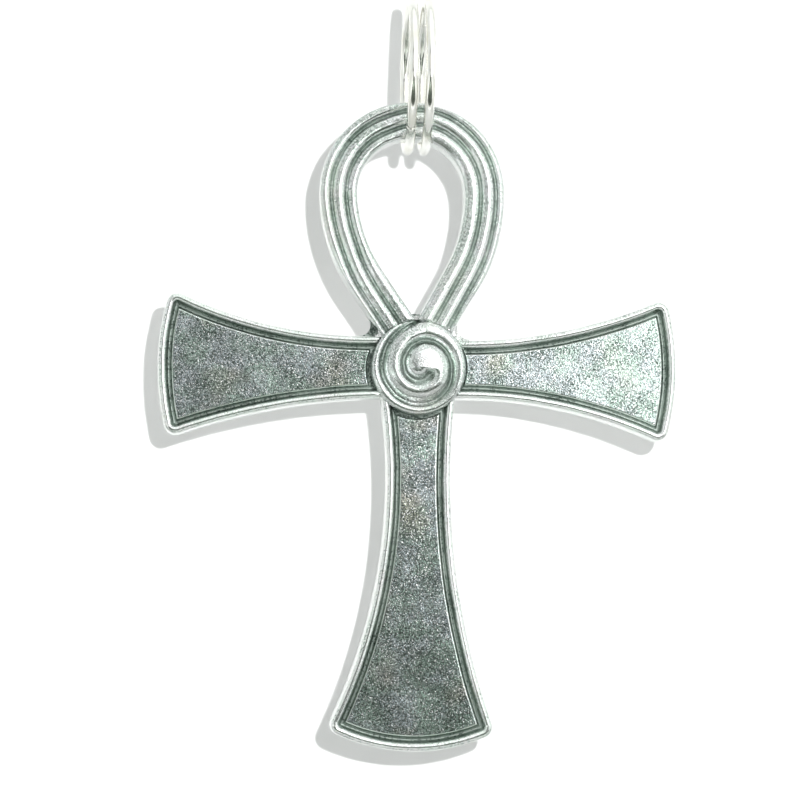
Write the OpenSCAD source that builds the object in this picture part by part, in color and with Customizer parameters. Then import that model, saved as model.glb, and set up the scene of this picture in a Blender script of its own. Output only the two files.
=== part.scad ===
// Ankh pendant on a pair of jump rings, in millimetres.
// The origin is where the pendant hangs: the inside top of the rings, midway between them.
// +Z is up, the relief faces -Y, and the rings' common axis runs along X.

/* [Jump rings] */
// Inside diameter of each ring
ring_id = 14; // [13:0.1:20]
// Diameter of the ring wire
wire_d = 1; // [0.6:0.05:1.3]
// Distance between the middles of the two wires
ring_pitch = 1.65; // [1.5:0.05:2.4]
// Width of the butt joint where each ring closes
slit_w = 0.06; // [0.02:0.01:0.2]
// Angle of the left ring's joint, from the ring's lowest point towards the front
left_slit_angle = 40; // [0:5:355]
// Angle of the right ring's joint, from the ring's lowest point towards the front
right_slit_angle = 215; // [0:5:355]
// Gap between the ring wires and the edge of the loop that rests on them
seat_gap = 0.12; // [0.05:0.01:0.4]

/* [Loop] */
// Inside diameter of the round top of the loop
loop_id = 10.7; // [9:0.1:14]
// Width of the loop's band
band_w = 3.75; // [3.2:0.05:4.6]
// Distance from the middle of the boss to the middle of the round top
loop_rise = 17.5; // [16.5:0.1:20]
// Angle by which the loop leans to the left
loop_lean = 3.5; // [0:0.5:5]
// Radius of the side curves, along the middle of the band
side_r = 16.4; // [14:0.1:22]
// Angle through which each side curve turns before the straight leg
side_turn = 31.5; // [28:0.5:34]
// Distance from the middle of the rings to the middle of the loop, to the left
loop_shift = 0.5; // [0:0.05:0.8]
// Width of the middle ridge of the band
mid_ridge_w = 1.15; // [0.8:0.05:1.4]
// Radius of the web where the two legs meet above the boss
crotch_r = 0.7; // [0.5:0.05:1]
// Radius of the hollow corner between a leg and an arm
corner_web_r = 1.2; // [0.8:0.1:2]

/* [Arms] */
// Width of an arm at its waist
arm_waist_w = 6.1; // [5:0.1:7]
// Distance from the middle of the boss to an arm's waist
arm_waist_at = 6; // [4:0.1:9]
// Radius of an arm's flared edges
arm_flare_r = 45; // [35:1:70]
// Distance from the middle of the boss to the end of an arm, which is also its end's radius
arm_reach = 25.5; // [20:0.5:32]

/* [Stem] */
// Width of the stem at its waist
stem_waist_w = 6.6; // [5:0.1:7.5]
// Distance from the middle of the boss to the stem's waist
stem_waist_at = 11; // [7:0.1:14]
// Radius of the stem's flared edges
stem_flare_r = 69; // [50:1:110]
// Distance from the middle of the boss to the foot
stem_reach = 38; // [32:0.5:46]
// Radius of the foot's curved edge
foot_r = 18.5; // [12:0.5:32]

/* [Relief] */
// Thickness of the casting at the bottom of its grooves
floor_t = 1.9; // [1.5:0.05:2.2]
// Thickness of the casting at the flat panels
panel_t = 2.3; // [2.1:0.05:2.6]
// Thickness of the casting at the top of its rims
rim_t = 2.9; // [2.75:0.05:3.3]
// Width of the raised rims
rim_w = 0.9; // [0.7:0.05:1]
// Distance from the outer edge to a panel's edge
panel_inset = 1.5; // [1.2:0.05:1.9]
// Radius of the rounded top of the rims
rim_crown_r = 0.5; // [0.5:0.01:0.6]
// Width of the chamfer along the back edges of the loop
back_chamfer = 0.3; // [0.1:0.05:0.5]

/* [Boss] */
// Diameter of the round boss
boss_d = 9.5; // [9:0.1:11]
// Thickness of the casting at the boss's edge
boss_edge_t = 3; // [2.7:0.05:3.4]
// Thickness of the casting at the boss's middle
boss_top_t = 3.8; // [3.5:0.05:4.4]
// Width of the moat round the boss
moat_w = 0.55; // [0.3:0.05:0.7]
// Thickness of the casting at the bottom of the spiral groove
spiral_floor_t = 2.6; // [2.2:0.05:2.8]

/* [Hidden] */
$fn = 96;

// Rings
wire_r = wire_d / 2;
ring_r = ring_id / 2 + wire_r;
ring_z = -ring_id / 2;
slit_turn = 2 * asin(slit_w / 2 / ring_r);

// Loop, in the casting's own plane with the boss's middle at zero
loop_r = (loop_id + band_w) / 2;
side_x = loop_r - side_r;
leg_gap = 0.1;
leg_len = (side_x + (side_r - band_w / 2) * cos(side_turn)) / sin(side_turn) - leg_gap;
leg_edge = [
    side_x + (side_r + band_w / 2) * cos(side_turn),
    loop_rise - (side_r + band_w / 2) * sin(side_turn)
];

// Where the casting hangs: the loop's inner edge clears both wires by the seat gap
rim_shoulder_t = rim_t - rim_crown_r + sqrt(rim_crown_r * rim_crown_r - rim_w * rim_w / 4);
band_corner_y = max(rim_shoulder_t - rim_t / 2, rim_t / 2 - back_chamfer);
seat_r = loop_id / 2 - wire_r - seat_gap;
seat_x = ring_pitch / 2 + loop_shift;
loop_z = ring_z - sqrt(ring_r * ring_r - band_corner_y * band_corner_y)
    - sqrt(seat_r * seat_r - seat_x * seat_x);
boss_x = loop_rise * sin(loop_lean) - loop_shift;
boss_z = loop_z - loop_rise * cos(loop_lean);

// Boss
boss_r = boss_d / 2;
moat_r = boss_r + moat_w;
boss_rise = boss_top_t - boss_edge_t;
dome_r = (boss_r * boss_r + boss_rise * boss_rise) / (2 * boss_rise);

// Flared limbs: waist width, distance to the waist, flare radius, reach and end radius
ARM = [arm_waist_w, arm_waist_at, arm_flare_r, arm_reach, arm_reach];
STEM = [stem_waist_w, stem_waist_at, stem_flare_r, stem_reach, foot_r];

// A border's end rim is a little lower than its flared ones, and both stop just short of the corner,
// in a domed post that is just wider than their crowns
end_drop = 0.04;
post_over = 0.02;
dome_over = 0.03;
bead_stop = 0.1;

// Each length of the band is thinner all round by the tuck than the one before, and starts inside its end
tuck = 0.01;
lap = 0.05;

// How far a web runs into what it joins, and how far its hollow runs into their edges
web_root = 0.3;
web_over = 0.02;

// How far a cutting or trimming solid runs past what it cuts
past = 1;

// Spiral groove, anticlockwise: angle, distance from the middle and width as shares of the boss's radius
SPIRAL = [
    [86, 1.02, 0.07],
    [95, 0.96, 0.08],
    [112, 0.90, 0.10],
    [134, 0.86, 0.12],
    [174, 0.78, 0.13],
    [220, 0.73, 0.12],
    [269, 0.765, 0.12],
    [310, 0.775, 0.14],
    [346, 0.70, 0.15],
    [389, 0.63, 0.14],
    [433, 0.585, 0.15],
    [482, 0.42, 0.20],
    [512, 0.335, 0.20],
    [551, 0.28, 0.19],
    [627, 0.26, 0.17],
    [665, 0.25, 0.11],
];
spiral_step = 8;

function column(table, i) = [for (row = table) [row[0], row[i]]];

function spiral_edge(side) = [
    for (a = [SPIRAL[0][0] : spiral_step : SPIRAL[len(SPIRAL) - 1][0]])
        let (r = lookup(a, column(SPIRAL, 1)) + side * lookup(a, column(SPIRAL, 2)) / 2)
            boss_r * r * [cos(a), sin(a)]
];

function reversed(list) = [for (i = [len(list) - 1 : -1 : 0]) list[i]];

// The crossing of two circles with middles on the limb's axis and off it, on the side away from the boss
function crossing(c1, r1, c2, r2) =
    let (
        gap = c2 - c1,
        d = norm(gap),
        along = (d * d + r1 * r1 - r2 * r2) / (2 * d),
        across = sqrt(r1 * r1 - along * along)
    )
    c1 + along * gap / d + across * [gap[1], -gap[0]] / d;

function flare_middle(limb) = [limb[1], limb[0] / 2 + limb[2]];
function end_middle(limb) = [limb[3] - limb[4], 0];

// The point inside a limb's corner that lies an inset away from both its flared edge and its end
function corner(limb, inset) =
    crossing(end_middle(limb), limb[4] - inset, flare_middle(limb), limb[2] + inset);

// The outline of a limb along +X, drawn in by an inset
module limb_outline(limb, inset) {
    difference() {
        intersection() {
            translate(end_middle(limb)) circle(limb[4] - inset);
            translate([0, -limb[0] * 2]) square([limb[3] + past, limb[0] * 4]);
        }
        for (side = [-1, 1])
            translate([limb[1], side * flare_middle(limb)[1]]) circle(limb[2] + inset);
    }
}

// The cross-section of a raised rim with a rounded top, drawn in all round or lowered
module rim_section(draw = 0, drop = 0) {
    width = rim_w - 2 * draw;
    crown_at = rim_t - rim_crown_r - drop;
    intersection() {
        translate([-width / 2, 0]) square([width, rim_t]);
        union() {
            translate([-width / 2, 0]) square([width, crown_at]);
            translate([0, crown_at]) circle(rim_crown_r - draw);
        }
    }
}

// A rim on an arc about the origin, between two angles
module rim_arc(radius, from, to, drop = 0) {
    rotate([0, 0, from]) rotate_extrude(angle = to - from)
        translate([radius, 0]) rim_section(drop = drop);
}

// Half the section of the post in a border's corner
module corner_post_section() {
    post_r = rim_crown_r + post_over;
    crown_at = rim_t - rim_crown_r;
    square([post_r, crown_at]);
    intersection() {
        square([post_r, rim_t + past]);
        translate([0, crown_at]) circle(rim_crown_r + dome_over);
    }
}

// The upper half of a limb's border: the flared rim, the end rim and the post in the corner
module limb_border_half(limb) {
    post = corner(limb, rim_w / 2);
    flare_r = limb[2] + rim_w / 2;
    end_r = limb[4] - rim_w / 2;
    flare_at = flare_middle(limb);
    end_at = end_middle(limb);
    flare_stop = atan2(post[1] - flare_at[1], post[0] - flare_at[0]) - bead_stop / flare_r * 180 / PI;
    end_stop = atan2(post[1] - end_at[1], post[0] - end_at[0]) - bead_stop / end_r * 180 / PI;
    flare_start = -90 - asin((limb[1] - boss_r / 2) / flare_r);
    translate(flare_at) rim_arc(flare_r, flare_start, flare_stop);
    translate(end_at) rim_arc(end_r, 0, end_stop, end_drop);
    translate(post) rotate_extrude() corner_post_section();
}

// A limb along +X without the boss
module limb(limb) {
    linear_extrude(floor_t) limb_outline(limb, rim_w / 2);
    linear_extrude(panel_t) difference() {
        limb_outline(limb, panel_inset);
        circle(moat_r);
    }
    limb_border_half(limb);
    mirror([0, 1, 0]) limb_border_half(limb);
}

// The cross-section of the loop's band, with two rims and a middle ridge, drawn in all round
module band_section(draw = 0) {
    rim_at = (band_w - rim_w) / 2;
    half = band_w / 2 - draw;
    top = floor_t - draw;
    polygon([
        [-half + back_chamfer, 0], [half - back_chamfer, 0], [half, back_chamfer],
        [half, top], [-half, top], [-half, back_chamfer]
    ]);
    for (side = [-1, 1]) translate([side * rim_at, 0]) intersection() {
        rim_section(draw);
        translate([-rim_w, floor_t / 2]) square([rim_w * 2, rim_t]);
    }
    intersection() {
        translate([-mid_ridge_w / 2 + draw, floor_t / 2]) square([mid_ridge_w - 2 * draw, rim_t]);
        translate([0, rim_t - mid_ridge_w]) circle(mid_ridge_w - draw);
    }
}

// The right half of the loop, with the boss's middle at the origin
module loop_half() {
    lap_turn = lap / side_r * 180 / PI;
    translate([0, loop_rise, 0]) {
        rotate_extrude(angle = 90) translate([loop_r, 0]) band_section();
        translate([side_x, 0, 0]) rotate([0, 0, -side_turn]) {
            rotate_extrude(angle = side_turn + lap_turn) translate([side_r, 0]) band_section(tuck);
            translate([side_r, lap, 0]) rotate([90, 0, 0]) linear_extrude(leg_len + lap)
                band_section(2 * tuck);
        }
    }
}

module loop() {
    loop_half();
    mirror([1, 0, 0]) loop_half();
    translate([0, boss_r, 0]) cylinder(h = floor_t, r = crotch_r);
}

// The hollow corner between the right leg and an arm, where the loop leans by an angle towards the left
module corner_web(lean) {
    edge = [
        leg_edge[0] * cos(lean) - leg_edge[1] * sin(lean),
        leg_edge[0] * sin(lean) + leg_edge[1] * cos(lean)
    ];
    out = [cos(side_turn - lean), -sin(side_turn - lean)];
    middle_y = arm_waist_w / 2 + corner_web_r;
    middle = [(corner_web_r + out * edge - out[1] * middle_y) / out[0], middle_y];
    linear_extrude(panel_t) difference() {
        polygon([
            [middle[0], arm_waist_w / 2 - web_root], middle,
            middle - (corner_web_r + web_root) * out, [boss_r / 2, boss_r / 2]
        ]);
        translate(middle) circle(corner_web_r + web_over);
    }
}

// The domed boss with its spiral groove
module boss() {
    difference() {
        intersection() {
            cylinder(h = boss_top_t + past, r = boss_r);
            translate([0, 0, boss_top_t - dome_r]) sphere(dome_r);
        }
        translate([0, 0, spiral_floor_t]) linear_extrude(boss_top_t)
            polygon(concat(spiral_edge(1), reversed(spiral_edge(-1))));
    }
}

// The whole casting, lying on its back with the boss's middle at the origin
module casting() {
    difference() {
        union() {
            limb(ARM);
            mirror([1, 0, 0]) limb(ARM);
            rotate([0, 0, -90]) limb(STEM);
            rotate([0, 0, loop_lean]) loop();
            corner_web(loop_lean);
            mirror([1, 0, 0]) corner_web(-loop_lean);
        }
        translate([0, 0, floor_t]) cylinder(h = rim_t, r = moat_r);
    }
    boss();
}

module ankh() {
    color([0.55, 0.57, 0.56])
        translate([boss_x, rim_t / 2, boss_z]) rotate([90, 0, 0]) casting();
}

module jump_ring(side, slit_angle) {
    color([0.85, 0.85, 0.83])
        translate([side * ring_pitch / 2, 0, ring_z]) rotate([0, 90, 0])
            rotate([0, 0, slit_turn / 2 - slit_angle]) rotate_extrude(angle = 360 - slit_turn)
                translate([ring_r, 0]) circle(wire_r);
}

module jump_ring_left() {
    jump_ring(-1, left_slit_angle);
}

module jump_ring_right() {
    jump_ring(1, right_slit_angle);
}

ankh();
jump_ring_left();
jump_ring_right();
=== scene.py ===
import math

import bmesh
import bpy
import numpy as np
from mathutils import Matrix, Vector, noise


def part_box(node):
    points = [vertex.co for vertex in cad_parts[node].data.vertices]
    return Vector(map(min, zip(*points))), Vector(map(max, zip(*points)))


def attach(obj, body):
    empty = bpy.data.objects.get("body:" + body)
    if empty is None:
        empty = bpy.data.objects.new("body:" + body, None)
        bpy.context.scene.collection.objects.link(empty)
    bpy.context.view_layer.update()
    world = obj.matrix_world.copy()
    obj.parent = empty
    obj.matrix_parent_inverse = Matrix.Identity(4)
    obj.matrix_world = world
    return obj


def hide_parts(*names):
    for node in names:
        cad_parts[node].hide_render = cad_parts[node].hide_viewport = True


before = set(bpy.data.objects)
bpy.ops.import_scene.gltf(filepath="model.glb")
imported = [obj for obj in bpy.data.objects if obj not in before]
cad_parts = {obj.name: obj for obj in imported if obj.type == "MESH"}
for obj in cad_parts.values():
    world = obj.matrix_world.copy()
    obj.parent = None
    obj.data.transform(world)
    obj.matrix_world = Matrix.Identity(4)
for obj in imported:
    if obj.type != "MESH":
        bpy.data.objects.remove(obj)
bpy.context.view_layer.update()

MM = 0.001

# Sizes of the casting in millimetres, in its own plane: the boss's middle is at zero,
# x points right, y up, and z is the height above the flat back.
# Each of a limb's two edges has half the waist, the waist's place along the limb and the
# flare's radius. end_rim is how far the end's rim draws in for each millimetre of inset.
RIGHT_ARM = dict(edges=((2.77, 3.5, 49.7), (3.02, 5.5, 46.1)), reach=25.8, end_r=25.5, end_rim=1.0)
LEFT_ARM = dict(edges=((3.1, 1.0, 66.7), (3.0, 6.0, 43.2)), reach=25.9, end_r=25.5, end_rim=1.0)
STEM = dict(edges=((3.38, 10.0, 72.3), (2.95, 12.0, 55.5)), reach=38.1, end_r=18.5, end_rim=1.08)

# From the boss's middle to the foot of the solid's stem, which gives the boss's place
STEM_REACH = 38.0

# The loop's lean and arcs, and the widths of its band and of the band's middle ridge
LOOP_LEAN = math.radians(3.5)
LOOP_RISE = 17.5
LOOP_R = 7.225
SIDE_R = 16.4
SIDE_TURN = math.radians(31.5)
BAND_W = 3.75
RIDGE_W = 1.24

# The boss, its spiral groove, which is a narrow cut in a broad hollow, and its rounded edge
BOSS_R = 4.75
BOSS_EDGE_T = 3.12
BOSS_TOP_T = 3.8
CUT_DEPTH = 0.4
HOLLOW_DEPTH = 0.36
HOLLOW_W = 0.62
EDGE_W = 0.55
EDGE_DROP = 0.42

# Heights and widths of the border round a panel
FLOOR_T = 1.9
PANEL_T = 2.3
RIM_T = 2.9
RIM_W = 0.82
PANEL_INSET = 1.38
CORNER_R = 1.1
INNER_CORNER_R = 0.06

# The moat round the boss was cut a little off centre, so it is wide at the lower left
MOAT_R = 4.98
MOAT_AT = (-0.2, -0.15)
MOAT_FLOOR = 1.95
MOAT_DIRT = 0.92

# A flange closes the loop's grooves short of the moat in this direction
FLANGE_TURN = math.radians(42)

# How far the loop's ridge lies off the middle on the right and in the left leg, and how much
# wider the loop's outer side is on the right
RIGHT_SHIFT = 0.5
LEG_SHIFT = 0.38
RIGHT_WIDER = 0.24

# The dirty floor between the feet of the loop's legs
CROTCH_CORNERS = [(1.0, 3.9), (0.62, 5.33), (-0.72, 5.38), (-1.0, 3.9)]
CROTCH_T = 1.85

# The back of each part of the casting lies a hair above the last one's, for a clean union
HAIR = 0.004

# The casting's surface waves, broad and fine: how close they lie and how far they move the
# surface. Their seed makes them the same in each run.
ROUGH_WAVES = ((0.33, 0.02), (1.3, 0.012))
ROUGH_SEED = 1

# The gap at a ring's butt joint, and how far its ends are rounded
RING_SLIT = 0.05
RING_SOFTEN = 0.12

# The casting's place in the frame, from its box
low, high = (np.array(corner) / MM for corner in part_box("ankh"))
BOSS_X = (low[0] + high[0]) / 2
BOSS_Z = low[2] + STEM_REACH
BACK_Y = high[1]


def eased(value, start, end):
    """0 before start, 1 after end, and a smooth turn between them."""
    share = np.clip((value - start) / (end - start), 0.0, 1.0)
    return share * share * (3 - 2 * share)


def unit(vector):
    return vector / np.linalg.norm(vector)


def turned(points, angle):
    """The points turned anticlockwise about the boss's middle."""
    out = points.copy()
    out[..., 0] = points[..., 0] * math.cos(angle) - points[..., 1] * math.sin(angle)
    out[..., 1] = points[..., 0] * math.sin(angle) + points[..., 1] * math.cos(angle)
    return out


class Shell:
    """A closed mesh in the casting's own coordinates, with values of patina and painted shade, and of
    satin, at its points.
    """

    def __init__(self, points, faces, grime, satin):
        self.points, self.faces, self.grime, self.satin = points, faces, grime, satin


def tube(rings, grime, satin):
    """A closed shell from rings of points. The arrays are indexed by ring and by point."""
    count, across = rings.shape[:2]
    faces = []
    for i in range(count - 1):
        for j in range(across):
            k = (j + 1) % across
            a, b = i * across, (i + 1) * across
            faces.append((a + j, a + k, b + k, b + j))
    faces.append(tuple(range(across))[::-1])
    faces.append(tuple((count - 1) * across + j for j in range(across)))
    return Shell(rings.reshape(-1, 3), faces, grime.reshape(-1), satin.reshape(-1))


def cut_moat(points, grime, spared):
    """Lowers what lies inside the moat, but not the spared rims, and returns the new values of patina and
    painted shade.

    The flange at the upper right closes the grooves short of the moat.
    """
    radius = np.hypot(points[..., 0] - MOAT_AT[0], points[..., 1] - MOAT_AT[1])
    turn = np.arctan2(points[..., 1], points[..., 0])
    shut = eased(np.cos(turn - FLANGE_TURN), 0.45, 0.75)
    z = points[..., 2]
    flange = shut * (1 - eased(radius, MOAT_R + 0.12, MOAT_R + 0.42))
    front = z > MOAT_FLOOR - 0.3
    raised = np.where(front, np.maximum(z, (RIM_T - 0.22) * flange), z)
    keep = np.maximum(eased(radius, MOAT_R - 0.05, MOAT_R + 0.11), spared)
    keep = keep * eased(np.hypot(points[..., 0], points[..., 1]), BOSS_R - 0.3, BOSS_R + 0.05)
    lowered = np.where(raised > MOAT_FLOOR, MOAT_FLOOR + (raised - MOAT_FLOOR) * keep, raised)
    points[..., 2] = lowered
    dark = np.where(front, grime * (1 - flange), grime)
    inside = (1 - eased(radius, MOAT_R - 0.02, MOAT_R + 0.16)) * (1 - spared)
    return np.where(front, np.maximum(dark, MOAT_DIRT * inside), dark)


def crown(start, end, base, top, steps=12):
    """The rounded top of a rim or ridge, from start to end across it, as (across, z) points."""
    turn = np.linspace(0, math.pi, steps + 1)
    return np.stack([
        (start + end) / 2 - (end - start) / 2 * np.cos(turn),
        base + (top - base) * np.sin(turn) ** 0.8,
    ], axis=1)


def border_profile():
    """The border's section from the back edge to the edge of the panel: (inset, z, patina and painted
    shade, satin).
    """
    rows = [(0.35, 0, 0, 1), (0.2, 0, 0, 1), (0.07, 0.02, 0, 0.6), (0.0, 0.08, 0, 0.3)]
    rows += [(-0.03, 0.2, 0, 0.3), (-0.03, 0.9, 0, 0.3), (-0.02, 1.6, 0, 0.3), (-0.01, 2.05, 0, 0.3)]
    for t, z in crown(0, RIM_W, 2.2, RIM_T):
        # A thin darker line along the rim's outer slope is a painted reflection: the dark band that the
        # rounded crest mirrors.
        line = 0.24 * math.exp(-(((t - 0.17) / 0.06) ** 2))
        rows.append((t, z, line + 0.5 * float(eased(t, 0.6, 0.82)), 0.25))
    edge = PANEL_INSET
    rows += [
        (RIM_W + 0.04, 2.1, 0.6, 0.3), (RIM_W + 0.1, 2.0, 0.68, 0.3), (RIM_W + 0.17, 1.92, 0.75, 0.3),
        (RIM_W + 0.24, FLOOR_T, 0.75, 0.3), (edge - 0.2, FLOOR_T, 0.7, 0.3), (edge - 0.12, 1.94, 0.65, 0.3),
        (edge - 0.07, 2.04, 0.5, 0.2), (edge - 0.03, 2.17, 0.2, 0), (edge + 0.01, 2.25, 0, 0),
        (edge + 0.04, 2.285, 0, 0), (edge + 0.08, PANEL_T, 0, 0.5), (edge + 0.15, PANEL_T, 0, 1),
    ]
    return np.array(rows, float)


def near_radii():
    """Distances from the moat's middle of the rows near the boss, close together at the moat's edge."""
    return np.concatenate([
        [3.6, 4.1, 4.5, 4.8],
        np.arange(4.95, 5.62, 0.055),
        np.arange(5.68, 6.6, 0.15),
        np.arange(6.8, 9.6, 0.35),
    ])


def bent_row(radius, v, centre):
    """u of the rows near the boss, which follow the moat's curve and straighten further out."""
    follow = eased(radius, 3.65, 4.2) * (1 - eased(radius, 6.4, 9.5))
    across = np.clip(v - centre[1], -radius * 0.98, radius * 0.98)
    return centre[0] + radius - follow * (radius - np.sqrt(radius**2 - across**2))


def half_outline(limb, side, inset, centre):
    """Points (u, v) of a limb's edge drawn in by an inset, from inside the boss to the end's middle."""
    waist, waist_at, flare = limb["edges"][side]
    flare_mid = np.array([waist_at, waist + flare])
    flare_r = flare + inset
    end_mid = np.array([limb["reach"] - limb["end_r"], 0.0])
    end_r = limb["end_r"] - inset * limb["end_rim"]
    round_r = max(CORNER_R - inset, INNER_CORNER_R)
    gap = flare_mid - end_mid
    d = np.linalg.norm(gap)
    along = (d * d + (end_r - round_r) ** 2 - (flare_r + round_r) ** 2) / (2 * d)
    off = math.sqrt((end_r - round_r) ** 2 - along**2)
    corner = end_mid + along * gap / d + off * np.array([gap[1], -gap[0]]) / d

    def edge(u):
        return flare_mid[1] - np.sqrt(flare_r**2 - (u - flare_mid[0]) ** 2)

    # Repeated steps bring u to where each bent row meets the edge
    radii = near_radii()
    u = radii + centre[0]
    for _ in range(25):
        u = bent_row(radii, edge(u), centre)
    near = np.stack([u, edge(u)], axis=1)
    stop = corner + round_r * unit(flare_mid - corner)
    far_u = u[-1] + (stop[0] - u[-1]) * np.linspace(0, 1, 41)[1:]
    far = np.stack([far_u, edge(far_u)], axis=1)
    first = math.atan2(*(flare_mid - corner)[::-1])
    last = math.atan2(*(corner - end_mid)[::-1])
    turn = np.linspace(first, last, 9)[1:]
    bend = corner + round_r * np.stack([np.cos(turn), np.sin(turn)], axis=1)
    turn = last * np.linspace(1, 0, 29)[1:]
    end = end_mid + end_r * np.stack([np.cos(turn), np.sin(turn)], axis=1)
    return np.concatenate([near, far, bend, end])


def limb_shell(limb, angle, back):
    """A flared limb that points along the angle, with its back raised a hair from the others'."""
    centre = turned(np.array(MOAT_AT), -angle)
    profile = border_profile()
    upper = np.stack([half_outline(limb, 0, t, centre) for t in profile[:, 0]], axis=1)
    lower = np.stack([half_outline(limb, 1, t, centre * (1, -1)) for t in profile[:, 0]], axis=1) * (1, -1)
    steps = 22

    def chords(start, end):
        share = np.linspace(0, 1, steps + 1)[1:-1]
        line = start[:, None] + (end - start)[:, None] * share[:, None]
        for i, radius in enumerate(near_radii()):
            line[i, :, 0] = bent_row(radius, line[i, :, 1], centre)
        return line

    panel = chords(upper[:, -1], lower[:, -1])
    under = chords(lower[:, 0], upper[:, 0])
    flat = np.concatenate([upper, panel, lower[:, ::-1], under], axis=1)

    def around(column, on_panel, on_back):
        values = np.concatenate([
            profile[:, column],
            np.full(steps - 1, on_panel),
            profile[::-1, column],
            np.full(steps - 1, on_back),
        ])
        return np.broadcast_to(values, flat.shape[:2]).copy()

    z = around(1, PANEL_T, 0.0)
    z = back + z * (RIM_T - back) / RIM_T
    rings = np.concatenate([turned(flat, angle), z[..., None]], axis=2)
    rim = np.where(profile[:, 0] < RIM_W + 0.1, 1.0, 0.0)
    spared = np.concatenate([rim, np.zeros(steps - 1), rim[::-1], np.zeros(steps - 1)])
    grime = cut_moat(rings, around(2, 0.0, 0.0), spared)
    return tube(rings, grime, around(3, 1.0, 1.0))


def band_profile(draw=0.0):
    """The loop's section, clockwise from the outer back edge: (across, z, grime, satin).

    draw is how far it's drawn in all round.
    """
    half = BAND_W / 2
    ridge = RIDGE_W / 2
    rows = [(-half + 0.2, 0, 0, 1), (-half + 0.04, 0.06, 0, 0.5), (-half, 0.2, 0, 0.3)]
    rows += [(-half, 0.9, 0, 0.3), (-half + 0.01, 1.6, 0, 0.3), (-half + 0.02, 2.05, 0, 0.3)]
    for a, z in crown(-half + 0.03, -ridge - 0.26, 2.35, RIM_T):
        rows.append((a, z, 0.1 + 0.06 * float(eased(a, -ridge - 0.34, -ridge - 0.26)), 0.45))
    rows += [(-ridge - 0.21, 2.28, 0.18, 0.3), (-ridge - 0.16, 2.22, 0.62, 0.3)]
    rows += [(-ridge - 0.1, 2.22, 0.62, 0.3), (-ridge - 0.04, 2.28, 0.14, 0.3)]
    right = [(-a, z, grime, satin) for a, z, grime, satin in rows]
    rows += [(a, z, 0.1, 0.45) for a, z in crown(-ridge, ridge, 2.36, RIM_T - 0.02)]
    rows += right[::-1]
    rows += [(share * half, 0, 0, 1) for share in (0.6, 0.2, -0.2, -0.6)]
    out = np.array(rows, float)
    out[:, 0] -= np.sign(out[:, 0]) * draw
    out[:, 1] += np.where(out[:, 1] > 1, -draw, draw)
    return out


def loop_path():
    """Points and outward directions of the loop's middle line on the right, from its top into the boss."""
    side_mid = np.array([LOOP_R - SIDE_R, LOOP_RISE])
    turn = np.linspace(math.pi / 2, 0, 91)
    out = np.stack([np.cos(turn), np.sin(turn)], axis=1)
    points = np.array([0, LOOP_RISE]) + LOOP_R * out
    turn = np.linspace(0, -SIDE_TURN, 51)[1:]
    side = np.stack([np.cos(turn), np.sin(turn)], axis=1)
    leg_out = side[-1]
    down = np.array([leg_out[1], -leg_out[0]])
    leg_start = side_mid + SIDE_R * leg_out
    length = np.arange(0.075, (leg_start[1] - 2.9) / -down[1], 0.075)
    legs = leg_start + down * length[:, None]
    points = np.concatenate([points, side_mid + SIDE_R * side, legs])
    return points, np.concatenate([out, side, np.broadcast_to(leg_out, legs.shape)])


def swept(points, out, profile, back):
    """The band along a stretch of its middle line.

    Its ridge lies off the middle in the left leg and on the right.
    """
    side = eased(points[:, 0], -2.5, 2.5)
    leg = 1 - eased(points[:, 1], 7.5, 13.0)
    shift = -RIGHT_SHIFT * side - LEG_SHIFT * leg * (1 - side)
    inside = 1 - eased(np.abs(profile[:, 0]), 1.0, BAND_W / 2)
    across = profile[:, 0] + shift[:, None] * inside
    wider = RIGHT_WIDER * eased(points[:, 0], 2.0, 6.0) * eased(points[:, 1], 4.5, 9.0)
    across = across - wider[:, None] * eased(-profile[:, 0], 1.3, 1.8)
    flat = points[:, None] - out[:, None] * across[..., None]
    z = np.broadcast_to(back + profile[:, 1] * (RIM_T - back) / RIM_T, flat.shape[:2])
    rings = np.concatenate([turned(flat, LOOP_LEAN), z[..., None]], axis=2)
    grime = np.broadcast_to(profile[:, 2], flat.shape[:2]).copy()
    satin = np.broadcast_to(profile[:, 3], flat.shape[:2]).copy()
    grime = cut_moat(rings, grime, np.ones(len(profile)))
    return tube(rings, grime, satin)


def loop_shells():
    """The loop down to where its legs would cross, and a foot for each leg that runs into the boss."""
    points, out = loop_path()
    inner = points[:, 0] - out[:, 0] * BAND_W / 2
    split = int(np.argmax((inner < 0.06) & (points[:, 1] < LOOP_RISE)))
    mirror = np.array([-1, 1])
    whole = np.concatenate([(points * mirror)[split - 1:0:-1], points[:split]])
    whole_out = np.concatenate([(out * mirror)[split - 1:0:-1], out[:split]])
    foot = slice(split - 6, None)
    drawn = band_profile(HAIR)
    left = swept((points * mirror)[foot], (out * mirror)[foot], drawn * (-1, 1, 1, 1), 4 * HAIR)
    left.faces = [face[::-1] for face in left.faces]
    return [
        swept(whole, whole_out, band_profile(), 3 * HAIR),
        swept(points[foot], out[foot], drawn, 5 * HAIR),
        left,
    ]


# The boss's spiral groove, anticlockwise: the angle in degrees, then the distance from the
# middle and half the width, both as shares of the boss's radius
GROOVE = np.array([
    (78, 1.06, 0.045), (86, 1.02, 0.05), (95, 0.965, 0.055), (112, 0.90, 0.06), (134, 0.825, 0.065),
    (160, 0.775, 0.06), (185, 0.765, 0.055), (220, 0.735, 0.06), (269, 0.755, 0.065), (300, 0.765, 0.065),
    (326, 0.755, 0.065), (350, 0.705, 0.065), (371, 0.69, 0.06), (393, 0.67, 0.06), (417, 0.635, 0.065),
    (440, 0.58, 0.075), (462, 0.49, 0.08), (492, 0.38, 0.08), (535, 0.305, 0.075), (585, 0.275, 0.09),
    (627, 0.275, 0.11), (672, 0.27, 0.11), (700, 0.28, 0.08),
])
GROOVE_START = 70


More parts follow.
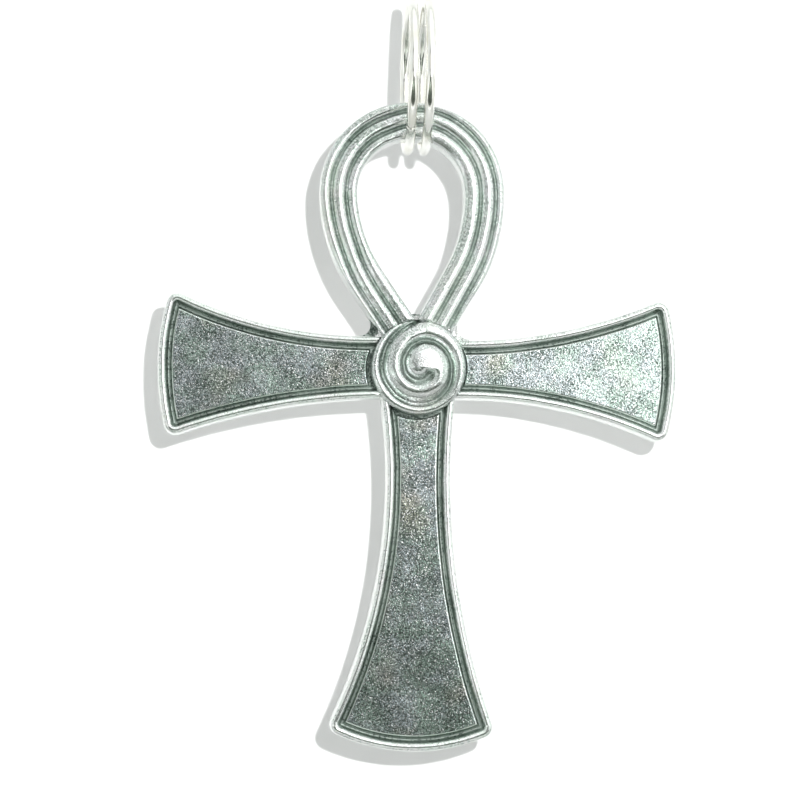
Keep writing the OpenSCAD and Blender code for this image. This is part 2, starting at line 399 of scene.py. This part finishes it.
def boss_height(x, y):
    """Height of the boss's domed, grooved face, and how dark it is painted."""
    radius = np.hypot(x, y)
    turn = np.degrees(np.arctan2(y, x)) % 360
    z = BOSS_EDGE_T + (BOSS_TOP_T - BOSS_EDGE_T) * (1 - (radius / BOSS_R) ** 2)
    deep = np.zeros_like(z)
    broad = np.zeros_like(z)
    dark = np.zeros_like(z)
    first_lap = np.where(turn < GROOVE_START, turn + 360, turn)
    for angle in (first_lap, first_lap + 360):
        there = eased(angle, 76, 92) * (1 - eased(angle, 688, 716)) * (angle < 720)
        middle = np.interp(angle, GROOVE[:, 0], GROOVE[:, 1]) * BOSS_R
        width = np.interp(angle, GROOVE[:, 0], GROOVE[:, 2]) * BOSS_R
        soft_side = 1 + 0.9 * eased(angle, 130, 180) * (1 - eased(angle, 300, 350))
        off = radius - middle
        spread = np.where(off > 0, width, width * soft_side)
        cut = there * np.exp(-((off / spread) ** 2))
        deep = np.maximum(deep, cut)
        # Along the lower left of its first lap the groove is painted less dark.
        paler_arc = 0.6 * eased(angle, 190, 225) * (1 - eased(angle, 285, 315))
        dark = np.maximum(dark, eased(cut, 0.4, 1.0) * (1 - paler_arc))
        broad = broad + there * np.exp(-((off / HOLLOW_W) ** 2))
    edge = BOSS_R - radius
    z = z - CUT_DEPTH * deep - HOLLOW_DEPTH * broad
    rounding = np.clip(1 - edge / EDGE_W, 0, 1)
    z = z - EDGE_DROP * (1 - np.sqrt(np.clip(1 - rounding**2, 0, 1)))
    return z, 0.1 + 0.55 * dark


def boss_shell():
    """The round boss from the back to its spiral face."""
    around = 360
    inner = np.linspace(0, 1, 86)[1:-1] * (BOSS_R - 0.05)
    radii = np.concatenate([inner, BOSS_R - np.array([0.03, 0.012, 0.0])])
    turn = np.linspace(0, 2 * math.pi, around, endpoint=False)
    x = radii[:, None] * np.cos(turn)
    y = radii[:, None] * np.sin(turn)
    z, grime = boss_height(x, y)
    face = np.stack([x, y, z], axis=2)
    wall = []
    side = ((0.0, 2.55), (0.0, 2.2), (-0.02, 1.98), (0.0, 1.2), (0.0, 0.2), (0.07, 0.09), (0.2, 6 * HAIR))
    for draw, height in side:
        r = BOSS_R - draw
        wall.append(np.stack([r * np.cos(turn), r * np.sin(turn), np.full(around, height)], axis=1))
    rings = np.concatenate([np.array(wall)[::-1], face[::-1]])
    side_dirt = np.array([0, 0, 0, 0, 0.7, 0.3, 0])  # from the back up
    dirt_and_shade = np.concatenate([np.broadcast_to(side_dirt[:, None], (len(side), around)), grime[::-1]])
    return tube(rings, dirt_and_shade, np.full(dirt_and_shade.shape, 0.5))


def web_shell(corners, heights, dirt_and_shade):
    """A plate with the given corners and heights, which fills a hollow corner.

    Its top has several rows of points, so that the union keeps its dark paint.
    """
    ring = np.array(corners, float)
    over = np.concatenate([ring, np.broadcast_to(heights, len(ring))[:, None]], axis=1)
    under = np.concatenate([ring, np.full((len(ring), 1), 0.03)], axis=1)
    rings = [under]
    for size in (1, 0.985, 0.96, 0.93, 0.89):
        drawn = over.copy()
        drawn[:, :2] *= np.where(np.hypot(*ring.T) > BOSS_R, size, 1)[:, None]
        rings.append(drawn)
    rings = np.stack(rings)
    return tube(rings, np.full(rings.shape[:2], dirt_and_shade), np.full(rings.shape[:2], 0.3))


def hollow_corner(side, radius, outer, inner, dirt_and_shade):
    """The web between a leg and an arm, with a round hollow edge, an outer and an inner height."""
    arm_edge = (RIGHT_ARM["edges"][0] if side > 0 else LEFT_ARM["edges"][1])[0] + 0.12
    points, out = loop_path()
    leg = turned(points[-1] + out[-1] * BAND_W / 2, side * LOOP_LEAN)
    leg_out = turned(out[-1], side * LOOP_LEAN)
    middle_y = arm_edge + radius
    middle_x = (radius + leg_out @ leg - leg_out[1] * middle_y) / leg_out[0]
    middle = np.array([middle_x, middle_y])
    first = math.atan2(-leg_out[1], -leg_out[0])
    last = -math.pi / 2
    if first > 0:
        first -= 2 * math.pi
    turn = np.linspace(first, last, 16)
    hollow = middle + radius * np.stack([np.cos(turn), np.sin(turn)], axis=1)
    inside = [(middle_x, arm_edge - 0.4), (BOSS_R / 2, BOSS_R / 2), tuple(hollow[0] - 0.4 * leg_out)]
    ring = np.concatenate([hollow, np.array(inside)])
    heights = np.array([outer] * len(hollow) + [outer, inner, outer])
    if side > 0:
        ring, heights = ring[::-1], heights[::-1]
    ring[:, 0] *= side
    return web_shell(ring, heights, dirt_and_shade)


def to_object(shell, name):
    """A Blender object from a shell, with points in the frame, in metres, and values as attributes.

    One is added to each value, because the points that a union makes may have zero.
    """
    x, y, z = shell.points.T
    world = np.stack([BOSS_X + x, BACK_Y - z, BOSS_Z + y], axis=1) * MM
    mesh = bpy.data.meshes.new(name)
    mesh.from_pydata(world.tolist(), [], shell.faces)
    for key, values in (("grime", shell.grime), ("satin", shell.satin)):
        layer = mesh.attributes.new(key, "FLOAT", "POINT")
        layer.data.foreach_set("value", (1 + values).astype(np.float32))
    bm = bmesh.new()
    bm.from_mesh(mesh)
    bmesh.ops.remove_doubles(bm, verts=bm.verts, dist=2e-7)
    bmesh.ops.recalc_face_normals(bm, faces=bm.faces)
    bm.to_mesh(mesh)
    bm.free()
    piece = bpy.data.objects.new(name, mesh)
    bpy.context.scene.collection.objects.link(piece)
    return piece


def fused(pieces, name):
    """One closed mesh from overlapping pieces, which are then removed."""
    base = pieces[0]
    for other in pieces[1:]:
        union = base.modifiers.new("union", "BOOLEAN")
        union.operation = "UNION"
        union.solver = "MANIFOLD"
        union.object = other
    graph = bpy.context.evaluated_depsgraph_get()
    mesh = bpy.data.meshes.new_from_object(base.evaluated_get(graph))
    for piece in pieces:
        bpy.data.objects.remove(piece)
    mesh.name = name
    piece = bpy.data.objects.new(name, mesh)
    bpy.context.scene.collection.objects.link(piece)
    return piece


def fill_new_points(mesh, key):
    """Gives new points with no value the mean of their neighbours' values, and takes off the added one."""
    values = np.zeros(len(mesh.vertices), np.float32)
    mesh.attributes[key].data.foreach_get("value", values)
    edges = np.zeros(len(mesh.edges) * 2, np.int64)
    mesh.edges.foreach_get("vertices", edges)
    a, b = edges.reshape(-1, 2).T
    for _ in range(6):
        known = values > 0.5
        if known.all():
            break
        total = np.zeros(len(values))
        count = np.zeros(len(values))
        for here, there in ((a, b), (b, a)):
            good = known[there]
            np.add.at(total, here[good], values[there[good]])
            np.add.at(count, here[good], 1)
        fill = ~known & (count > 0)
        values[fill] = total[fill] / count[fill]
    values = np.clip(values - 1, 0, 1)
    mesh.attributes[key].data.foreach_set("value", values.astype(np.float32))


def roughen(mesh):
    """Moves points by smooth noise, as a hand-finished casting varies."""
    noise.seed_set(ROUGH_SEED)
    for vertex in mesh.vertices:
        place = vertex.co / MM
        shift = Vector()
        for closeness, reach in ROUGH_WAVES:
            shift += noise.noise_vector(place * closeness) * reach
        vertex.co += shift * MM


def make_ankh():
    """The casting, fused from its limbs, loop, webs and boss."""
    shells = [
        limb_shell(RIGHT_ARM, 0.0, 0.0),
        limb_shell(LEFT_ARM, math.pi, HAIR),
        limb_shell(STEM, -math.pi / 2, 2 * HAIR),
        *loop_shells(),
        hollow_corner(side=1, radius=1.2, outer=2.35, inner=3.0, dirt_and_shade=0.0),
        hollow_corner(side=-1, radius=0.3, outer=2.5, inner=2.8, dirt_and_shade=0.0),
        # The deep pit in the left corner is painted fully dark: painted shade where the corner lies in
        # shadow.
        hollow_corner(side=-1, radius=1.1, outer=1.15, inner=1.15, dirt_and_shade=1.0),
        web_shell(CROTCH_CORNERS, CROTCH_T, dirt_and_shade=1.0),
        boss_shell(),
    ]
    piece = fused([to_object(shell, f"part_{i}") for i, shell in enumerate(shells)], "ankh_casting")
    # The flat back is clean and satin
    for key, on_back in (("grime", 0.0), ("satin", 1.0)):
        fill_new_points(piece.data, key)
        for vertex, value in zip(piece.data.vertices, piece.data.attributes[key].data):
            if vertex.co.y > (BACK_Y - 0.03) * MM:
                value.value = on_back
    roughen(piece.data)
    piece.data.polygons.foreach_set("use_smooth", [True] * len(piece.data.polygons))
    piece.data.set_sharp_from_angle(angle=math.radians(38))
    return piece


ankh = make_ankh()
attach(ankh, "pendant")
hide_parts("ankh")


def make_ring(node, slit_angle):
    """A wire ring over the CAD ring's place, with a butt joint whose ends are slightly rounded."""
    low, high = (np.array(corner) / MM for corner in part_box(node))
    wire_r = (high[0] - low[0]) / 2
    ring_r = (high[2] - low[2]) / 2 - wire_r
    middle = (low + high) / 2
    span = 2 * math.pi * ring_r - RING_SLIT
    near_end = RING_SOFTEN * (1 - np.cos(np.linspace(0, math.pi / 2, 5)))
    along = np.concatenate([
        near_end,
        np.linspace(RING_SOFTEN, span - RING_SOFTEN, 300)[1:-1],
        span - near_end[::-1],
    ])
    from_end = np.clip(np.minimum(along, span - along) / RING_SOFTEN, 0, 1)
    thin = 1 - 0.16 * (1 - np.sqrt(np.clip(1 - (1 - from_end) ** 2, 0, 1)))
    turn = slit_angle + (RING_SLIT / 2 + along) / ring_r
    round_turn = np.linspace(0, 2 * math.pi, 40, endpoint=False)
    spread = wire_r * thin[:, None] * np.cos(round_turn)
    aside = wire_r * thin[:, None] * np.sin(round_turn)
    reach = ring_r + spread
    rings = np.stack([
        middle[0] + aside,
        middle[1] - reach * np.sin(turn)[:, None],
        middle[2] - reach * np.cos(turn)[:, None],
    ], axis=2) * MM
    wire = tube(rings, np.zeros(rings.shape[:2]), np.zeros(rings.shape[:2]))
    mesh = bpy.data.meshes.new(node + "_wire")
    mesh.from_pydata(wire.points.tolist(), [], wire.faces)
    bm = bmesh.new()
    bm.from_mesh(mesh)
    bmesh.ops.recalc_face_normals(bm, faces=bm.faces)
    bm.to_mesh(mesh)
    bm.free()
    mesh.polygons.foreach_set("use_smooth", [True] * len(mesh.polygons))
    mesh.set_sharp_from_angle(angle=math.radians(50))
    piece = bpy.data.objects.new(node + "_wire", mesh)
    bpy.context.scene.collection.objects.link(piece)
    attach(piece, "rings")
    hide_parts(node)
    return piece


rings = [make_ring("jump_ring_left", math.radians(40)), make_ring("jump_ring_right", math.radians(215))]


class Nodes:
    """Short names for building a material's nodes."""

    def __init__(self, name):
        self.material = bpy.data.materials.new(name)
        self.material.use_nodes = True
        self.tree = self.material.node_tree
        self.shader = self.tree.nodes["Principled BSDF"]

    def link(self, source, target):
        self.tree.links.new(source, target)

    def make(self, kind, **settings):
        node = self.tree.nodes.new(kind)
        for key, value in settings.items():
            setattr(node, key, value)
        return node

    def place(self):
        return self.make("ShaderNodeTexCoord").outputs["Object"]

    def attribute(self, name):
        return self.make("ShaderNodeAttribute", attribute_name=name).outputs["Fac"]

    def noise(self, scale, detail=2.0, roughness=0.5, turn=None):
        texture = self.make("ShaderNodeTexNoise")
        texture.inputs["Scale"].default_value = scale
        texture.inputs["Detail"].default_value = detail
        texture.inputs["Roughness"].default_value = roughness
        source = self.place()
        if turn:
            mapping = self.make("ShaderNodeMapping")
            mapping.inputs["Rotation"].default_value = turn
            self.link(source, mapping.inputs["Vector"])
            source = mapping.outputs["Vector"]
        self.link(source, texture.inputs["Vector"])
        return texture.outputs["Fac"]

    def span(self, value, from_low, from_high, to_low, to_high):
        node = self.make("ShaderNodeMapRange")
        self.link(value, node.inputs["Value"])
        numbers = (from_low, from_high, to_low, to_high)
        for key, number in zip(("From Min", "From Max", "To Min", "To Max"), numbers):
            node.inputs[key].default_value = number
        return node.outputs["Result"]

    def math(self, operation, a, b):
        node = self.make("ShaderNodeMath", operation=operation)
        for socket, value in zip(node.inputs, (a, b)):
            if isinstance(value, (int, float)):
                socket.default_value = value
            else:
                self.link(value, socket)
        return node.outputs[0]

    def mix(self, share, a, b):
        node = self.make("ShaderNodeMix", data_type="RGBA")
        for socket, value in ((node.inputs[0], share), (node.inputs[6], a), (node.inputs[7], b)):
            if isinstance(value, (int, float)):
                socket.default_value = value
            elif isinstance(value, tuple):
                socket.default_value = (*value, 1.0)
            else:
                self.link(value, socket)
        return node.outputs[2]

    def bump(self, height, distance, strength=1.0):
        node = self.make("ShaderNodeBump")
        node.inputs["Distance"].default_value = distance
        node.inputs["Strength"].default_value = strength
        self.link(height, node.inputs["Height"])
        return node.outputs["Normal"]


def antique_silver():
    """Plated casting: bright rims and edges with a painted dark reflection line, speckled satin panels with
    painted glints, and dark patina in its grooves.
    """
    m = Nodes("antique_silver")
    # This attribute holds the patina in the hollows, a painted dark reflection line along the rims and
    # painted shade in the pit of the left corner.
    grime = m.attribute("grime")
    satin = m.attribute("satin")
    grain = m.noise(8800, 1.0)
    glint_fleck = m.noise(7600, 1.0, turn=(0.3, 0.8, 0.5))
    blotch = m.noise(330, 4.0, 0.65)
    tint = m.noise(450, 3.0)
    silver = m.mix(m.span(tint, 0.38, 0.62, 0, 1), (0.85, 0.90, 0.86), (0.90, 0.90, 0.89))
    light = m.mix(m.span(tint, 0.4, 0.6, 0, 1), (0.52, 0.65, 0.58), (0.60, 0.66, 0.69))
    light = m.mix(m.span(m.noise(170, 3.0), 0.54, 0.68, 0, 0.6), light, (0.68, 0.61, 0.50))
    level = m.math("ADD", m.span(grain, 0.34, 0.66, 0, 1), m.span(blotch, 0.3, 0.7, 0.18, -0.36))
    panel = m.mix(level, (0.06, 0.085, 0.07), light)
    # White flecks on the panels are bright grains of the plating and painted glints.
    panel = m.mix(m.span(glint_fleck, 0.61, 0.67, 0, 1), panel, (1.0, 1.0, 1.0))
    silver = m.mix(satin, silver, panel)
    ragged = m.math("ADD", grime, m.span(m.noise(5200, 1.0), 0.3, 0.7, -0.28, 0.28))
    ragged = m.math("ADD", ragged, m.span(m.noise(260, 2.0), 0.3, 0.7, -0.17, 0.17))
    shade = m.mix(m.span(ragged, 0.2, 0.42, 0, 1), silver, (0.33, 0.385, 0.35))
    dirt_and_shade = m.span(ragged, 0.76, 1.03, 0, 1)
    colour = m.mix(dirt_and_shade, shade, (0.07, 0.09, 0.08))
    m.link(colour, m.shader.inputs["Base Color"])
    m.shader.inputs["Metallic"].default_value = 1.0
    rough = m.span(satin, 0, 1, 0.14, 0.22)
    rough = m.math("ADD", rough, m.span(m.noise(900, 3.0), 0.3, 0.7, -0.03, 0.05))
    rough = m.math("ADD", rough, m.math("MULTIPLY", grime, 0.25))
    m.link(rough, m.shader.inputs["Roughness"])
    height = m.math("MULTIPLY", grain, m.span(satin, 0, 1, 0.15, 1.0))
    m.link(m.bump(height, 1.4e-5), m.shader.inputs["Normal"])
    return m.material


def polished_silver():
    """Bright plated wire with faint drawing marks and a little tarnish."""
    m = Nodes("polished_silver")
    tint = m.noise(500, 2.0)
    colour = m.mix(m.span(tint, 0.35, 0.7, 0, 1), (0.88, 0.88, 0.85), (0.80, 0.79, 0.72))
    m.link(colour, m.shader.inputs["Base Color"])
    m.shader.inputs["Metallic"].default_value = 1.0
    m.link(m.span(m.noise(1500, 3.0), 0.3, 0.7, 0.08, 0.2), m.shader.inputs["Roughness"])
    m.link(m.bump(m.noise(2600, 2.0), 1e-5, 0.4), m.shader.inputs["Normal"])
    return m.material


ankh.data.materials.clear()
ankh.data.materials.append(antique_silver())
wire_finish = polished_silver()
for ring in rings:
    ring.data.materials.append(wire_finish)


# The stage, in metres: a sweep behind the pendant, a floor below and a mat in front
WALL_Y = 0.082
FLOOR_Z = -0.14
COVE_R = 0.05
WALL_HALF = 0.28
WALL_TOP = 0.32
SWEEP_FRONT = 0.12
FLOOR_SIZE = 6
MAT_AT = (0.0, -0.8)
MAT_SIZE = (0.4, 1.4)


def matt(name, colour):
    """A plain matt material."""
    m = Nodes(name)
    m.shader.inputs["Base Color"].default_value = (*colour, 1)
    m.shader.inputs["Roughness"].default_value = 0.9
    m.shader.inputs["Specular IOR Level"].default_value = 0.0
    return m


def make_sweep():
    """A pale sweep behind the pendant that is clear from behind."""
    steps = 16
    line = [(WALL_Y, WALL_TOP)]
    for i in range(steps + 1):
        turn = i / steps * math.pi / 2
        y = WALL_Y - COVE_R + COVE_R * math.cos(turn)
        line.append((y, FLOOR_Z + COVE_R - COVE_R * math.sin(turn)))
    line.append((WALL_Y - COVE_R - SWEEP_FRONT, FLOOR_Z))
    points = [(x, y, z) for y, z in line for x in (-WALL_HALF, WALL_HALF)]
    faces = [(2 * i, 2 * i + 2, 2 * i + 3, 2 * i + 1) for i in range(len(line) - 1)]
    mesh = bpy.data.meshes.new("sweep")
    mesh.from_pydata(points, [], faces)
    mesh.polygons.foreach_set("use_smooth", [True] * len(mesh.polygons))
    sweep = bpy.data.objects.new("sweep", mesh)
    bpy.context.scene.collection.objects.link(sweep)
    m = matt("sweep_paper", (0.45, 0.455, 0.45))
    clear = m.make("ShaderNodeBsdfTransparent")
    sides = m.make("ShaderNodeMixShader")
    m.link(m.make("ShaderNodeNewGeometry").outputs["Backfacing"], sides.inputs[0])
    m.link(m.shader.outputs[0], sides.inputs[1])
    m.link(clear.outputs[0], sides.inputs[2])
    m.link(sides.outputs[0], m.tree.nodes["Material Output"].inputs["Surface"])
    mesh.materials.append(m.material)


def make_floor():
    """A pale floor a little below the sweep's foot."""
    bpy.ops.mesh.primitive_plane_add(size=FLOOR_SIZE, location=(0, 0, FLOOR_Z - 0.0005))
    floor = bpy.context.object
    floor.name = "floor"
    floor.data.materials.append(matt("floor_paper", (0.86, 0.86, 0.86)).material)


def make_mat():
    """A dark mat in front of the pendant, which shows only in reflections, on what faces down."""
    bpy.ops.mesh.primitive_plane_add(size=1, location=(*MAT_AT, FLOOR_Z))
    mat = bpy.context.object
    mat.name = "dark_mat"
    mat.scale = (*MAT_SIZE, 1)
    mat.data.materials.append(matt("dark_cloth", (0.03, 0.035, 0.03)).material)
    mat.visible_camera = False
    mat.visible_diffuse = False
    mat.visible_shadow = False


make_sweep()
make_floor()
make_mat()


# The soft boxes all stand in one plane in front of the pendant and face straight back. The
# flash is a small round one beside the lens, in metres and watts.
BOX_Y = -0.25
FLASH_AT = (-0.0147, -0.3487, -0.054)
FLASH_R = 0.0007
FLASH_POWER = 9.5


def soft_box(name, x, z, width, height, radiance):
    """An area light with the given middle, size in metres and radiance."""
    data = bpy.data.lights.new(name, "AREA")
    data.shape = "RECTANGLE"
    data.size, data.size_y = width, height
    data.energy = radiance * math.pi * width * height
    light = bpy.data.objects.new(name, data)
    bpy.context.scene.collection.objects.link(light)
    light.location = (x, BOX_Y, z)
    light.rotation_euler = Vector((0, 1, 0)).to_track_quat("-Z", "Y").to_euler()
    light.visible_camera = False


def flash_light():
    """The flash, which throws the sharp shadow."""
    data = bpy.data.lights.new("flash", "POINT")
    data.energy = FLASH_POWER
    data.shadow_soft_size = FLASH_R
    flash = bpy.data.objects.new("flash", data)
    flash.location = FLASH_AT
    flash.visible_glossy = False
    bpy.context.scene.collection.objects.link(flash)


soft_box("right_box", x=0.097, z=0.0325, width=0.112, height=0.165, radiance=3.3)
soft_box("front_box", x=0.0045, z=0.0295, width=0.055, height=0.143, radiance=0.54)
soft_box("left_box", x=-0.0675, z=0.05, width=0.085, height=0.1, radiance=0.9)
flash_light()


def make_world():
    """Light from all round: white behind, bright above and to the right, and dim in front and low."""
    world = bpy.data.worlds.new("studio")
    bpy.context.scene.world = world
    world.use_nodes = True
    tree = world.node_tree
    direction = tree.nodes.new("ShaderNodeTexCoord").outputs["Generated"]

    def towards(axis, start, end, low_value, high_value):
        """A smooth turn from the low to the high value as a direction comes nearer to the axis."""
        dot = tree.nodes.new("ShaderNodeVectorMath")
        dot.operation = "DOT_PRODUCT"
        tree.links.new(direction, dot.inputs[0])
        dot.inputs[1].default_value = unit(np.array(axis, float))
        span = tree.nodes.new("ShaderNodeMapRange")
        span.interpolation_type = "SMOOTHSTEP"
        tree.links.new(dot.outputs["Value"], span.inputs["Value"])
        numbers = (start, end, low_value, high_value)
        for key, value in zip(("From Min", "From Max", "To Min", "To Max"), numbers):
            span.inputs[key].default_value = value
        return span.outputs["Result"]

    def brighter(a, b):
        node = tree.nodes.new("ShaderNodeMath")
        node.operation = "MAXIMUM"
        tree.links.new(a, node.inputs[0])
        tree.links.new(b, node.inputs[1])
        return node.outputs[0]

    above = towards((0.35, -0.45, 1), 0.55, 0.8, 0, 1.3)
    right = towards((1, -0.55, 0.35), 0.6, 0.85, 0, 1.3)
    left = towards((-1, 0.1, 0.25), 0.17, 0.72, 0, 0.95)
    behind = towards((0, 1, 0.1), -0.3, 0.3, 0, 1.0)
    front = towards((0, -1, 0.1), 0.75, 0.96, 0.08, 0.15)
    strength = front
    for part in (above, right, left, behind):
        strength = brighter(strength, part)
    background = tree.nodes["Background"]
    tree.links.new(strength, background.inputs["Strength"])
    background.inputs["Color"].default_value = (0.97, 1.0, 0.985, 1)


make_world()

# The photograph's view: from a little to the left and below, rolled slightly. The lens and
# the sensor are in millimetres.
VIEW_AZIMUTH = math.radians(-3.5)
VIEW_ELEVATION = math.radians(-3.5)
VIEW_ROLL = math.radians(1.06)
VIEW_DISTANCE = 0.35
VIEW_TARGET = (-0.00075, 0.0, -0.04004)
VIEW_LENS = 156.3
VIEW_SENSOR = 36


def make_camera():
    """The scene's camera, at the view's distance from its target."""
    data = bpy.data.cameras.new("camera")
    data.sensor_width = VIEW_SENSOR
    data.lens = VIEW_LENS
    camera = bpy.data.objects.new("camera", data)
    bpy.context.scene.collection.objects.link(camera)
    back = Vector((
        math.sin(VIEW_AZIMUTH) * math.cos(VIEW_ELEVATION),
        -math.cos(VIEW_AZIMUTH) * math.cos(VIEW_ELEVATION),
        math.sin(VIEW_ELEVATION),
    ))
    camera.location = Vector(VIEW_TARGET) + back * VIEW_DISTANCE
    camera.rotation_euler = (-back).to_track_quat("-Z", "Y").to_euler()
    camera.rotation_euler.rotate_axis("Z", VIEW_ROLL)
    data.clip_start = 0.01
    bpy.context.scene.camera = camera


make_camera()
bpy.context.scene.view_settings.view_transform = "Standard"
